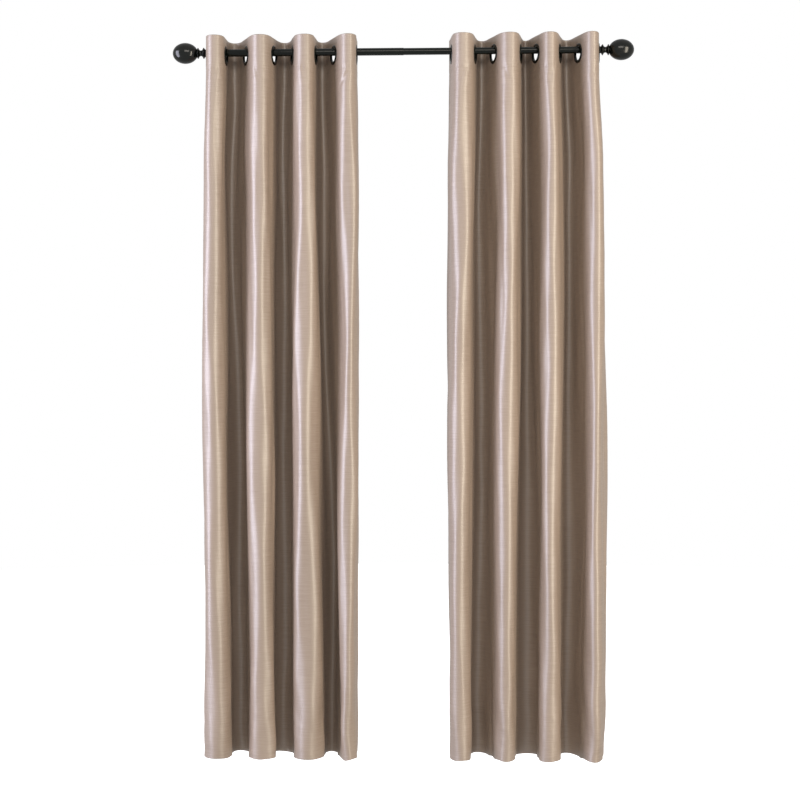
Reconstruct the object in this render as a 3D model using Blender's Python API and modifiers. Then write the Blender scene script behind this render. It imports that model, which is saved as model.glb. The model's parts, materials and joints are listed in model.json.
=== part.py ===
"""Two eyelet curtain panels on a telescoping rod that lies in two wall brackets.

Metres. X runs along the rod, Y points into the wall and Z is up. The origin is on the wall,
midway between the brackets, at the height of the rod's axis. Both panels are described by
their distance from the middle, so the left one is the right one mirrored.
"""

import math

import bmesh
import bpy
from mathutils import Matrix, Vector

GAP = 0.0003  # clearance between pieces that touch

# Rod
ROD_OUT = 0.090  # wall to rod axis
ROD_HALF = 0.588  # middle to each end of the tubes
OUTER_TUBE_RADIUS = 0.0110
OUTER_TUBE_WALL = 0.0005
INNER_TUBE_RADIUS = OUTER_TUBE_RADIUS - OUTER_TUBE_WALL - GAP
INNER_TUBE_WALL = 0.0008
OUTER_TUBE_END = 0.004  # where the thick tube stops, just past the middle
TUBE_OVERLAP = 0.160
GLIDE_FLANGE = 0.002
GLIDE_LENGTH = 0.012
SLEEVE_LENGTH = 0.020

# Finials, measured outwards from the end of the tube
PIN_RADIUS = 0.0030
PIN_IN_TUBE = 0.0185
PIN_IN_NECK = 0.0142
NECK_LENGTH = 0.0235
COLLAR_RADIUS = 0.0163
WAIST_RADIUS = 0.0083
BALL_CENTRE = 0.0579
BALL_HALF_LENGTH = 0.0393
BALL_RADIUS = 0.0310

# Brackets
BRACKET_X = 0.549
PLATE_WIDTH = 0.030
PLATE_HEIGHT = 0.080
PLATE_THICK = 0.003
PLATE_CORNER = 0.008
ARM_Z = 0.002
ARM_RADIUS = 0.0045
ARM_FLANGE_RADIUS = 0.012
ARM_FLANGE_THICK = 0.004
CRADLE_WALL = 0.003
CRADLE_WIDTH = 0.014
CRADLE_LIP = 0.008  # height of its two sides above the rod's axis
THUMB_RADIUS = 0.0025
THUMB_HEAD_RADIUS = 0.0060
THUMB_HEAD_GAP = 0.002
THUMB_HEAD_THICK = 0.006
WALL_SCREW_RADIUS = 0.0019
WALL_SCREW_DEPTH = 0.028
WALL_SCREW_HEAD_RADIUS = 0.0042
WALL_SCREW_HEAD_THICK = 0.0026
WALL_SCREW_RISE = 0.027  # above and below the arm

# Eyelet rings, numbered from the panel's outer edge: the distance from the middle, and how many
# degrees the ring turns out of square to the rod, which narrows the front fold beside it
LEFT_RINGS = ((0.580, 0), (0.526, 2), (0.466, 23.5), (0.382, 11.5),
              (0.327, 14.5), (0.258, 3), (0.204, 24), (0.136, -1.5))
RIGHT_RINGS = ((0.581, 3), (0.521, 20), (0.467, 11), (0.396, 21),
               (0.351, 8.5), (0.271, 22), (0.216, 8), (0.146, 7))
RING_HOLE_RADIUS = 0.0205
RING_BARREL_RADIUS = 0.0220
RING_RADIUS = 0.02925
RING_STEPS = 16
HALF_STEP = math.pi / RING_STEPS

# Panels
PANEL_TOP = 0.042
PANEL_HEIGHT = 2.134
CLOTH_THICK = 0.0020
TAPE_THICK = 0.0008
TAPE_TOP = 0.038
TAPE_HEIGHT = 0.096
TAPE_SET_BACK = CLOTH_THICK / 2 + GAP + TAPE_THICK / 2
LEG_HALF = 0.032  # flat stretch of cloth on each side of a ring's centre
EDGE_LENGTH = 0.057  # from the first and the last ring's centre to the panel's side edge
FOLD_DEPTH = 0.065  # from the rod's axis to a fold's crest, front and back
HALF_FOLD_STEPS = 4


def start_scene():
    for obj in list(bpy.data.objects):
        bpy.data.objects.remove(obj)
    collections = []
    for name in ("window_curtains", "cutters"):
        collection = bpy.data.collections.new(name)
        bpy.context.scene.collection.children.link(collection)
        collections.append(collection)
    collections[1].hide_render = True
    return collections


PARTS, CUTTERS = start_scene()


def make_material(name, colour, roughness, metallic):
    material = bpy.data.materials.new(name)
    material.use_nodes = True
    shader = material.node_tree.nodes["Principled BSDF"]
    shader.inputs["Base Color"].default_value = (*colour, 1)
    shader.inputs["Roughness"].default_value = roughness
    shader.inputs["Metallic"].default_value = metallic
    material.diffuse_color = (*colour, 1)
    return material


CLOTH = make_material("taupe_cloth", (0.42, 0.34, 0.28), 0.45, 0.0)
TAPE = make_material("header_tape", (0.75, 0.72, 0.66), 0.9, 0.0)
RING_METAL = make_material("ring_black", (0.012, 0.013, 0.012), 0.25, 0.8)
ROD_PAINT = make_material("rod_black", (0.010, 0.012, 0.011), 0.25, 0.6)
FINIAL_GLOSS = make_material("finial_black", (0.008, 0.010, 0.009), 0.12, 0.0)
BRACKET_PAINT = make_material("bracket_black", (0.012, 0.012, 0.012), 0.4, 0.5)
STEEL = make_material("screw_steel", (0.45, 0.45, 0.45), 0.35, 1.0)
NYLON = make_material("nylon", (0.05, 0.05, 0.05), 0.5, 0.0)


def add_object(name, mesh, material, matrix=Matrix()):
    obj = bpy.data.objects.new(name, mesh)
    if not mesh.materials:
        mesh.materials.append(material)
    PARTS.objects.link(obj)
    obj.matrix_world = matrix
    return obj


def add_cutter(name, mesh, matrix=Matrix()):
    obj = bpy.data.objects.new(name, mesh)
    CUTTERS.objects.link(obj)
    obj.matrix_world = matrix
    obj.hide_render = True
    obj.display_type = "WIRE"
    return obj


def cut(obj, cutter):
    modifier = obj.modifiers.new("cut_" + cutter.name, "BOOLEAN")
    modifier.operation = "DIFFERENCE"
    modifier.solver = "EXACT"
    modifier.object = cutter


def outline_mesh(name, outline, closed):
    """A chain of edges in the XZ plane, from (radius, height) pairs."""
    mesh = bpy.data.meshes.new(name)
    points = [(radius, 0, height) for radius, height in outline]
    edges = [(i, i + 1) for i in range(len(points) - 1)]
    if closed:
        edges.append((len(points) - 1, 0))
    mesh.from_pydata(points, edges, [])
    return mesh


def turn(obj, steps):
    """Spins the outline about the object's own Z axis."""
    modifier = obj.modifiers.new("turned", "SCREW")
    modifier.angle = 2 * math.pi
    modifier.steps = steps
    modifier.render_steps = steps
    modifier.use_merge_vertices = True
    modifier.merge_threshold = 0.00001
    modifier.use_smooth_shade = True
    return obj


def turned(name, outline, material, matrix, steps=24, closed=False):
    return turn(add_object(name, outline_mesh(name, outline, closed), material, matrix), steps)


def tube(name, radius, bore, low, high, material, matrix):
    outline = [(radius, high), (radius, low), (bore, low), (bore, high)]
    return turned(name, outline, material, matrix, closed=True)


def cylinder(mesh_name, radius, depth, steps, matrices):
    """One mesh with a capped cylinder, centred on its own Z axis, at each matrix."""
    mesh = bpy.data.meshes.new(mesh_name)
    work = bmesh.new()
    for matrix in matrices:
        bmesh.ops.create_cone(work, cap_ends=True, segments=steps, radius1=radius,
                              radius2=radius, depth=depth, matrix=matrix)
    work.to_mesh(mesh)
    work.free()
    return mesh


def flat_piece(name, outline, thickness, material, matrix):
    """A plate of this outline in its own XY plane, centred on that plane."""
    curve = bpy.data.curves.new(name, "CURVE")
    curve.dimensions = "2D"
    curve.fill_mode = "BOTH"
    curve.extrude = thickness / 2
    spline = curve.splines.new("POLY")
    spline.points.add(len(outline) - 1)
    for point, (x, y) in zip(spline.points, outline):
        point.co = (x, y, 0, 1)
    spline.use_cyclic_u = True
    guide = bpy.data.objects.new(name + "_outline", curve)
    PARTS.objects.link(guide)
    graph = bpy.context.evaluated_depsgraph_get()
    mesh = bpy.data.meshes.new_from_object(guide.evaluated_get(graph))
    bpy.data.objects.remove(guide)
    bpy.data.curves.remove(curve)
    work = bmesh.new()
    work.from_mesh(mesh)
    bmesh.ops.remove_doubles(work, verts=work.verts, dist=0.00001)
    bmesh.ops.recalc_face_normals(work, faces=work.faces)
    work.to_mesh(mesh)
    work.free()
    mesh.name = name
    return add_object(name, mesh, material, matrix)


def arc(centre, radius, start, stop, steps):
    """Points on a circle, from the start angle to the stop angle in degrees."""
    angles = [math.radians(start + (stop - start) * i / steps) for i in range(steps + 1)]
    return [(centre[0] + radius * math.cos(a), centre[1] + radius * math.sin(a)) for a in angles]


def along_rod(side, distance):
    """Own Z points outwards along the rod from this distance from the middle."""
    return Matrix.Translation((side * distance, -ROD_OUT, 0)) @ Matrix.Rotation(side * math.pi / 2, 4, "Y")


def out_of_wall(x, y, z):
    """Own Z points out of the wall, into the room."""
    return Matrix.Translation((x, y, z)) @ Matrix.Rotation(math.pi / 2, 4, "X")


# Rod


def make_tubes():
    middle = along_rod(1, 0)
    bore = OUTER_TUBE_RADIUS - OUTER_TUBE_WALL
    tube("outer_tube", OUTER_TUBE_RADIUS, bore, -ROD_HALF, OUTER_TUBE_END, ROD_PAINT, middle)
    start = OUTER_TUBE_END - TUBE_OVERLAP
    bore = INNER_TUBE_RADIUS - INNER_TUBE_WALL
    tube("inner_tube", INNER_TUBE_RADIUS, bore, start, ROD_HALF, ROD_PAINT, middle)
    top = start + GLIDE_LENGTH
    flange_top = start - GAP
    flange_bottom = flange_top - GLIDE_FLANGE
    stem = bore - GAP
    outline = [(0, top), (stem, top), (stem, flange_top), (INNER_TUBE_RADIUS, flange_top),
               (INNER_TUBE_RADIUS, flange_bottom), (0, flange_bottom)]
    turned("inner_tube_glide", outline, NYLON, middle)


def make_finial(side, name, tube_bore):
    end = along_rod(side, ROD_HALF)
    pin_bore = PIN_RADIUS + GAP
    tube(name + "_rod_end_sleeve", tube_bore - GAP, pin_bore, -SLEEVE_LENGTH, 0, NYLON, end)
    outline = [(0, PIN_IN_NECK), (PIN_RADIUS, PIN_IN_NECK), (PIN_RADIUS, -PIN_IN_TUBE), (0, -PIN_IN_TUBE)]
    turned(name + "_finial_pin", outline, STEEL, end, 12)
    blind = PIN_IN_NECK + GAP
    waist = NECK_LENGTH / 2
    outline = [(0, NECK_LENGTH), (0.0145, NECK_LENGTH),
               (COLLAR_RADIUS, NECK_LENGTH - 0.0013), (COLLAR_RADIUS, NECK_LENGTH - 0.0030),
               (0.0095, waist + 0.0030), (WAIST_RADIUS, waist), (0.0095, waist - 0.0030),
               (COLLAR_RADIUS, 0.0048), (COLLAR_RADIUS, 0.0035), (0.0125, GAP),
               (pin_bore, GAP), (pin_bore, blind), (0, blind)]
    turned(name + "_finial_neck", outline, FINIAL_GLOSS, end, 20)
    seat = NECK_LENGTH + GAP
    last = math.acos((seat - BALL_CENTRE) / BALL_HALF_LENGTH)
    steps = 9
    outline = [(BALL_RADIUS * math.sin(last * i / steps),
                BALL_CENTRE + BALL_HALF_LENGTH * math.cos(last * i / steps)) for i in range(steps + 1)]
    turned(name + "_finial_ball", outline + [(0, seat)], FINIAL_GLOSS, end, 24)


# Brackets


def make_wall_plate(side, name):
    half_width, half_height = PLATE_WIDTH / 2 - PLATE_CORNER, PLATE_HEIGHT / 2 - PLATE_CORNER
    outline = []
    for quarter, (x, y) in enumerate(((1, 1), (-1, 1), (-1, -1), (1, -1))):
        centre = (x * half_width, y * half_height)
        outline += arc(centre, PLATE_CORNER, 90 * quarter, 90 * quarter + 90, 4)
    matrix = out_of_wall(side * BRACKET_X, -PLATE_THICK / 2, ARM_Z)
    plate = flat_piece(name + "_wall_plate", outline, PLATE_THICK, BRACKET_PAINT, matrix)
    holes = [matrix @ Matrix.Translation((0, rise, 0)) for rise in (-WALL_SCREW_RISE, WALL_SCREW_RISE)]
    mesh = cylinder(name + "_plate_holes", WALL_SCREW_RADIUS + GAP, 3 * PLATE_THICK, 12, holes)
    cut(plate, add_cutter(name + "_plate_holes", mesh))


def make_arm(side, name, cradle_radius):
    start = PLATE_THICK + GAP
    flange = start + ARM_FLANGE_THICK
    end = ROD_OUT - cradle_radius - GAP
    outline = [(0, end), (ARM_RADIUS, end), (ARM_RADIUS, flange + 0.002),
               (ARM_FLANGE_RADIUS, flange), (ARM_FLANGE_RADIUS, start), (0, start)]
    turned(name + "_arm", outline, BRACKET_PAINT, out_of_wall(side * BRACKET_X, 0, ARM_Z), 16)


def make_cradle(side, name, inside, outside):
    """A U that the rod lies in, open at the top, with a hole in its front for the thumb screw."""
    outline = arc((0, 0), outside, 180, 360, 12) + [(outside, CRADLE_LIP), (inside, CRADLE_LIP)]
    outline += arc((0, 0), inside, 360, 180, 12) + [(-inside, CRADLE_LIP), (-outside, CRADLE_LIP)]
    centre = Vector((side * BRACKET_X, -ROD_OUT, 0))
    upright = Matrix.Rotation(math.pi / 2, 4, "Z") @ Matrix.Rotation(math.pi / 2, 4, "X")
    cradle = flat_piece(name + "_cradle", outline, CRADLE_WIDTH, BRACKET_PAINT,
                        Matrix.Translation(centre) @ upright)
    hole = out_of_wall(centre.x, centre.y - outside, 0)
    mesh = cylinder(name + "_thumb_hole", THUMB_RADIUS + GAP, 2 * outside, 12, [hole])
    cut(cradle, add_cutter(name + "_thumb_hole", mesh))


def make_thumb_screw(side, name, tip, outside):
    head = outside + THUMB_HEAD_GAP
    top = head + THUMB_HEAD_THICK
    outline = [(0, top), (THUMB_HEAD_RADIUS, top), (THUMB_HEAD_RADIUS, head),
               (THUMB_RADIUS, head), (THUMB_RADIUS, tip), (0, tip)]
    turned(name + "_thumb_screw", outline, BRACKET_PAINT, out_of_wall(side * BRACKET_X, -ROD_OUT, 0), 12)


def make_wall_screws(side, name):
    head = PLATE_THICK + GAP
    top = head + WALL_SCREW_HEAD_THICK
    outline = [(0, top), (0.6 * WALL_SCREW_HEAD_RADIUS, top), (WALL_SCREW_HEAD_RADIUS, head),
               (WALL_SCREW_RADIUS, head), (WALL_SCREW_RADIUS, -WALL_SCREW_DEPTH + 0.005),
               (0, -WALL_SCREW_DEPTH)]
    for place, rise in (("upper", WALL_SCREW_RISE), ("lower", -WALL_SCREW_RISE)):
        matrix = out_of_wall(side * BRACKET_X, 0, ARM_Z + rise)
        turned(f"{name}_{place}_wall_screw", outline, STEEL, matrix, 12)


def make_bracket(side, name, tube_radius):
    inside = tube_radius + GAP
    outside = inside + CRADLE_WALL
    make_wall_plate(side, name)
    make_arm(side, name, outside)
    make_cradle(side, name, inside, outside)
    make_thumb_screw(side, name, inside, outside)
    make_wall_screws(side, name)


# Panels


def outward(index):
    """1 for an even ring, whose face looks away from the middle, and -1 for an odd one."""
    return 1 if index % 2 == 0 else -1


def leg_direction(rings, index):
    """From a ring towards the front crest, as (away from the middle, into the wall)."""
    tilt = math.radians(rings[index][1])
    return Vector((-outward(index) * math.sin(tilt), -math.cos(tilt)))


def fold_crest(rings, index):
    """Midway between this leg and the next, where both would reach the fold's full depth."""
    depth = FOLD_DEPTH if index % 2 else -FOLD_DEPTH
    reached = []
    for number in (index, index + 1):
        direction = leg_direction(rings, number)
        reached.append(rings[number][0] + direction.x * depth / direction.y)
    return Vector((sum(reached) / 2, -ROD_OUT + depth))


def half_fold(foot, direction, crest):
    """Points from a leg's end to the crest, leaving along the leg and arriving level."""
    rise = abs(crest.y - foot.y)
    run = abs(crest.x - foot.x)
    level = Vector((math.copysign(1, crest.x - foot.x), 0))
    first = foot + direction * (0.55 * rise)
    second = crest - level * (0.55 * run)
    points = []
    for step in range(1, HALF_FOLD_STEPS + 1):
        t = step / HALF_FOLD_STEPS
        u = 1 - t
        points.append(u**3 * foot + 3 * u * u * t * first + 3 * u * t * t * second + t**3 * crest)
    return points


def fold_line(rings):
    """The middle of the cloth seen from above, from the outer side edge to the leading one."""
    centres = [Vector((distance, -ROD_OUT)) for distance, tilt in rings]
    points = [centres[0] - leg_direction(rings, 0) * EDGE_LENGTH]
    for index, centre in enumerate(centres):
        # Along the way an even leg runs from back to front, and an odd one from front to back.
        way = leg_direction(rings, index) * outward(index)
        points += [centre - way * LEG_HALF, centre + way * LEG_HALF]
        if index + 1 == len(centres):
            points.append(centre + way * EDGE_LENGTH)
            continue
        following = centres[index + 1]
        next_way = leg_direction(rings, index + 1) * outward(index + 1)
        crest = fold_crest(rings, index)
        rise = half_fold(centre + way * LEG_HALF, way, crest)
        fall = half_fold(following - next_way * LEG_HALF, -next_way, crest)
        points += rise + fall[-2::-1]
    return points


def set_back(points, distance):
    """The same line moved to the cloth's back, at the same distance all along."""
    moved = []
    for index, point in enumerate(points):
        before = points[max(index - 1, 0)]
        after = points[min(index + 1, len(points) - 1)]
        first = (point - before).normalized() if index else (after - point).normalized()
        second = (after - point).normalized() if after != point else first
        # The cloth's face is on the left of the line, so its back is on the right.
        behind = Vector((second.y, -second.x))
        bisector = (Vector((first.y, -first.x)) + behind).normalized()
        moved.append(point + bisector * (distance / bisector.dot(behind)))
    return moved


def hang(name, side, line, top, height, thickness, material, origin):
    """A sheet of even thickness that drops straight down from a line."""
    mesh = bpy.data.meshes.new(name)
    work = bmesh.new()
    corners = [work.verts.new((side * point.x, point.y, top)) for point in line]
    edges = [work.edges.new(pair) for pair in zip(corners, corners[1:])]
    lowered = bmesh.ops.extrude_edge_only(work, edges=edges)["geom"]
    bottom = [item for item in lowered if isinstance(item, bmesh.types.BMVert)]
    bmesh.ops.translate(work, verts=bottom, vec=(0, 0, -height))
    bmesh.ops.translate(work, verts=work.verts, vec=-origin)
    work.to_mesh(mesh)
    work.free()
    obj = add_object(name, mesh, material, Matrix.Translation(origin))
    shell = obj.modifiers.new("thickness", "SOLIDIFY")
    shell.thickness = thickness
    shell.offset = 0
    shell.use_even_offset = True
    return obj


def ring_matrix(side, rings, index, drop):
    """Own Z is square to the cloth, on its face side."""
    direction = leg_direction(rings, index) * outward(index)
    face = Vector((-direction.y, direction.x))
    heading = math.atan2(face.y, side * face.x)
    place = Matrix.Translation((side * rings[index][0], -ROD_OUT, -drop))
    return place @ Matrix.Rotation(heading, 4, "Z") @ Matrix.Rotation(math.pi / 2, 4, "Y") \
        @ Matrix.Rotation(HALF_STEP, 4, "Z")


def ring_meshes():
    cloth_face = CLOTH_THICK / 2 + GAP
    tape_back = -TAPE_SET_BACK - TAPE_THICK / 2 - GAP
    face_outline = [(0.0272, cloth_face + 0.0022), (RING_RADIUS, cloth_face + 0.0010),
                    (RING_RADIUS, cloth_face), (RING_BARREL_RADIUS, cloth_face),
                    (RING_BARREL_RADIUS, tape_back - 0.0010), (RING_HOLE_RADIUS, tape_back - 0.0010),
                    (RING_HOLE_RADIUS, cloth_face + 0.0022)]
    clear = RING_BARREL_RADIUS + GAP / math.cos(HALF_STEP)
    back_outline = [(RING_RADIUS, tape_back), (0.0285, tape_back - 0.0016),
                    (clear, tape_back - 0.0016), (clear, tape_back)]
    return outline_mesh("ring_face", face_outline, True), outline_mesh("ring_back", back_outline, True)


def make_panel(side, name, rings, tube_radius, meshes):
    # A ring's flat inner facet rests on top of the rod, so its centre hangs below the axis.
    drop = RING_HOLE_RADIUS * math.cos(HALF_STEP) - tube_radius - GAP
    places = [ring_matrix(side, rings, index, drop) for index in range(len(rings))]
    for number, place in enumerate(places, 1):
        for part, mesh in zip(("face", "back"), meshes):
            turn(add_object(f"{name}_ring_{number}_{part}", mesh, RING_METAL, place), RING_STEPS)
    line = fold_line(rings)
    leading = Vector((side * rings[-1][0], -ROD_OUT, 0))
    cloth = hang(name + "_panel_cloth", side, line, PANEL_TOP, PANEL_HEIGHT, CLOTH_THICK, CLOTH, leading)
    tape_line = set_back(line, TAPE_SET_BACK)
    tape = hang(name + "_header_tape", side, tape_line, TAPE_TOP, TAPE_HEIGHT, TAPE_THICK, TAPE, leading)
    hole = RING_BARREL_RADIUS + GAP / math.cos(HALF_STEP)
    cutter = add_cutter(name + "_eyelet_holes", cylinder(name + "_eyelet_holes", hole, 0.012,
                                                         RING_STEPS, places))
    cut(cloth, cutter)
    cut(tape, cutter)


def main():
    make_tubes()
    make_finial(-1, "left", OUTER_TUBE_RADIUS - OUTER_TUBE_WALL)
    make_finial(1, "right", INNER_TUBE_RADIUS - INNER_TUBE_WALL)
    make_bracket(-1, "left", OUTER_TUBE_RADIUS)
    make_bracket(1, "right", INNER_TUBE_RADIUS)
    meshes = ring_meshes()
    make_panel(-1, "left", LEFT_RINGS, OUTER_TUBE_RADIUS, meshes)
    make_panel(1, "right", RIGHT_RINGS, INNER_TUBE_RADIUS, meshes)


main()
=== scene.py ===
"""The finished look of two eyelet curtain panels on a telescoping rod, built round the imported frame.

Metres, +Z up, the wall at y = 0 and the room towards -Y. On a panel, s is the distance along the
cloth from its outer side edge, t the distance below its top edge, and lift the distance in front
of the cloth's middle, on its face side.
"""

import json
import math

import bmesh
import bpy
import numpy as np
from mathutils import Matrix, Vector


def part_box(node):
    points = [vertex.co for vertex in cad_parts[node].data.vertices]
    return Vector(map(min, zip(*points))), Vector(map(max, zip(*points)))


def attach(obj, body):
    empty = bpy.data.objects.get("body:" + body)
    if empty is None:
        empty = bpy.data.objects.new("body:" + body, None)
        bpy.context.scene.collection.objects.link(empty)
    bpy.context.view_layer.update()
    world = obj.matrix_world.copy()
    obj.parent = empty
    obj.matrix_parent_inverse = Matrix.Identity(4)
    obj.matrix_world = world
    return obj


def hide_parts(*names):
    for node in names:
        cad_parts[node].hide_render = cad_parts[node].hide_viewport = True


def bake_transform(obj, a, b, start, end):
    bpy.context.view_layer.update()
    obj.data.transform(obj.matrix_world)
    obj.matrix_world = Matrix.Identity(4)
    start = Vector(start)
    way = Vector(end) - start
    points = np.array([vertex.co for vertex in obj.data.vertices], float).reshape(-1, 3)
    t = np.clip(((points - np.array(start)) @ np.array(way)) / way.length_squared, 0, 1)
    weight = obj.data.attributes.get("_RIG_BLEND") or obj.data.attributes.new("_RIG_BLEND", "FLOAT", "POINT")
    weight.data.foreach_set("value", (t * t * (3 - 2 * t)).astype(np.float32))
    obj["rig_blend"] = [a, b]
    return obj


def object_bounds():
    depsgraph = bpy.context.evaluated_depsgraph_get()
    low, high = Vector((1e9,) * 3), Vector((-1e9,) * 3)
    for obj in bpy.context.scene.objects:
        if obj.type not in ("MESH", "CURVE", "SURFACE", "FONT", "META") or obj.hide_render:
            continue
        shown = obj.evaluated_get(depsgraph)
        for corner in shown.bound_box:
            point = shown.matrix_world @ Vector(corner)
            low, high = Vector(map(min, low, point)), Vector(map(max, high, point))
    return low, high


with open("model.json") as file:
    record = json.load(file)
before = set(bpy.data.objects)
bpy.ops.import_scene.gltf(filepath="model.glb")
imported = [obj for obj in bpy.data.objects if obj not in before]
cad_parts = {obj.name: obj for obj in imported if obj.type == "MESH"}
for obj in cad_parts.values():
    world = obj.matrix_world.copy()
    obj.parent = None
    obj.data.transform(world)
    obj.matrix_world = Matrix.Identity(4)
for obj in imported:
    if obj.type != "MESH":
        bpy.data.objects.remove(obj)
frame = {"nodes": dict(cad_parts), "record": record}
CAD_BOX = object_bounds()
NODES = frame["nodes"]
BEHAVIOUR = frame["record"]["behaviour"]
BODY_OF = {node: body for body, nodes in BEHAVIOUR["bodies"].items() for node in nodes}
RATIOS = {coupling["joint"]: coupling["ratio"] for coupling in BEHAVIOUR["couplings"]}
MM = 0.001

# Cloth
RINGS = 8
PANEL_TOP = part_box("left_panel_cloth")[1].z
PANEL_HEIGHT = PANEL_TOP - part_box("left_panel_cloth")[0].z
CLOTH_THICK = 0.8 * MM
LINING_THICK = 0.5 * MM
HOLE_RADIUS = 24 * MM
HEADER = 0.100  # depth of the stiff header, down to its stitch line
HEM = 0.080
SIDE_HEM = 0.030
TAPE_LIFT = -0.75 * MM
FACING_LIFT = -1.40 * MM
HEM_LIFT = -0.80 * MM
LEG_HALF = 0.032
LEG_HALF_AT_HEM = 0.020
EDGE_LENGTH = 0.057
FOLD_DEPTH = 0.0645
ROUNDNESS = 0.55

# Where the eight legs of the folds cross the rod's plane at the hem, as a distance from the
# middle, and how far each turns from square, in degrees
HEM_LEGS = {
    "left": ((0.5850, 3.0), (0.5095, 2.0), (0.4550, 2.7), (0.3800, -7.0),
             (0.3225, 3.0), (0.2328, 7.3), (0.1880, 5.3), (0.1357, -5.0)),
    "right": ((0.5917, 12.8), (0.5310, 18.0), (0.4645, 2.2), (0.4043, 0.7),
              (0.3345, 3.0), (0.2675, 12.7), (0.2025, 2.2), (0.1435, 0.0)),
}
# How far the outer and the leading side stand from a straight drop, about half way down. A minus is
# towards the middle, and it is small enough for the two panels to clear each other when closed.
BELLY = {"left": (0.008, -0.0045), "right": (0.012, -0.0060)}


# Small helpers


def ease(x):
    x = np.clip(x, 0, 1)
    return x * x * (3 - 2 * x)


def bell(x):
    return np.exp(-x * x)


class Waves:
    """A smooth random field over the cloth, about -1 to 1: a sum of cosines that run across and down."""

    def __init__(self, seed, across, down, count=7):
        random = np.random.default_rng(seed)
        self.across = 2 * math.pi / (across * random.uniform(0.7, 1.6, count))
        self.down = 2 * math.pi / (down * random.uniform(0.7, 1.6, count))
        self.down *= random.choice((-1, 1), count)
        self.phase = random.uniform(0, 2 * math.pi, count)
        self.scale = 1.3 / math.sqrt(count)

    def __call__(self, s, t):
        total = 0
        for across, down, phase in zip(self.across, self.down, self.phase):
            total = total + np.cos(across * s + down * t + phase)
        return total * self.scale


# Materials


def new_material(name, **values):
    """A Principled material and its shader."""
    material = bpy.data.materials.new(name)
    material.use_nodes = True
    shader = material.node_tree.nodes["Principled BSDF"]
    for socket, value in values.items():
        shader.inputs[socket.replace("_", " ")].default_value = value
    return material, shader


def link(material, output, target):
    material.node_tree.links.new(output, target)


def noise(material, vector, scale, detail=2.0, roughness=0.5):
    """A noise of this many features a metre along each axis."""
    nodes = material.node_tree.nodes
    mapping = nodes.new("ShaderNodeMapping")
    mapping.inputs["Scale"].default_value = scale
    link(material, vector, mapping.inputs["Vector"])
    texture = nodes.new("ShaderNodeTexNoise")
    texture.inputs["Scale"].default_value = 1.0
    texture.inputs["Detail"].default_value = detail
    texture.inputs["Roughness"].default_value = roughness
    link(material, mapping.outputs["Vector"], texture.inputs["Vector"])
    return texture.outputs["Fac"]


def ramp(material, fac, stops):
    """stops are (position, colour) pairs, or (position, grey value)."""
    node = material.node_tree.nodes.new("ShaderNodeValToRGB")
    link(material, fac, node.inputs["Fac"])
    elements = node.color_ramp.elements
    while len(elements) < len(stops):
        elements.new(0.5)
    for element, (position, colour) in zip(elements, stops):
        element.position = position
        element.color = (*colour, 1) if isinstance(colour, tuple) else (colour, colour, colour, 1)
    return node.outputs["Color"]


def math_node(material, operation, *operands):
    node = material.node_tree.nodes.new("ShaderNodeMath")
    node.operation = operation
    for socket, operand in zip(node.inputs, operands):
        if isinstance(operand, (int, float)):
            socket.default_value = operand
        else:
            link(material, operand, socket)
    return node.outputs[0]


def mix_colours(material, fac, first, second, blend="MIX"):
    node = material.node_tree.nodes.new("ShaderNodeMix")
    node.data_type = "RGBA"
    node.blend_type = blend
    for socket, value in zip((node.inputs[0], node.inputs[6], node.inputs[7]), (fac, first, second)):
        if isinstance(value, (int, float)):
            socket.default_value = value
        elif isinstance(value, tuple):
            socket.default_value = (*value, 1)
        else:
            link(material, value, socket)
    return node.outputs[2]


def bump(material, height, strength, distance):
    node = material.node_tree.nodes.new("ShaderNodeBump")
    node.inputs["Strength"].default_value = strength
    node.inputs["Distance"].default_value = distance
    link(material, height, node.inputs["Height"])
    link(material, node.outputs["Normal"], material.node_tree.nodes["Principled BSDF"].inputs["Normal"])


def cloth_plane(material):
    """The cloth's own s and t, in metres."""
    node = material.node_tree.nodes.new("ShaderNodeUVMap")
    node.uv_map = "cloth"
    return node.outputs["UV"]


def object_space(material):
    return material.node_tree.nodes.new("ShaderNodeTexCoord").outputs["Object"]


def weave(material, plane, threads):
    """The height of a plain weave with this many threads a metre, from 0 to 1."""
    split = material.node_tree.nodes.new("ShaderNodeSeparateXYZ")
    link(material, plane, split.inputs["Vector"])
    turns = 2 * math.pi * threads / 2
    warp = math_node(material, "SINE", math_node(material, "MULTIPLY", split.outputs["X"], turns))
    weft = math_node(material, "SINE", math_node(material, "MULTIPLY", split.outputs["Y"], turns))
    return math_node(material, "MULTIPLY_ADD", math_node(material, "MULTIPLY", warp, weft), 0.5, 0.5)


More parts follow.
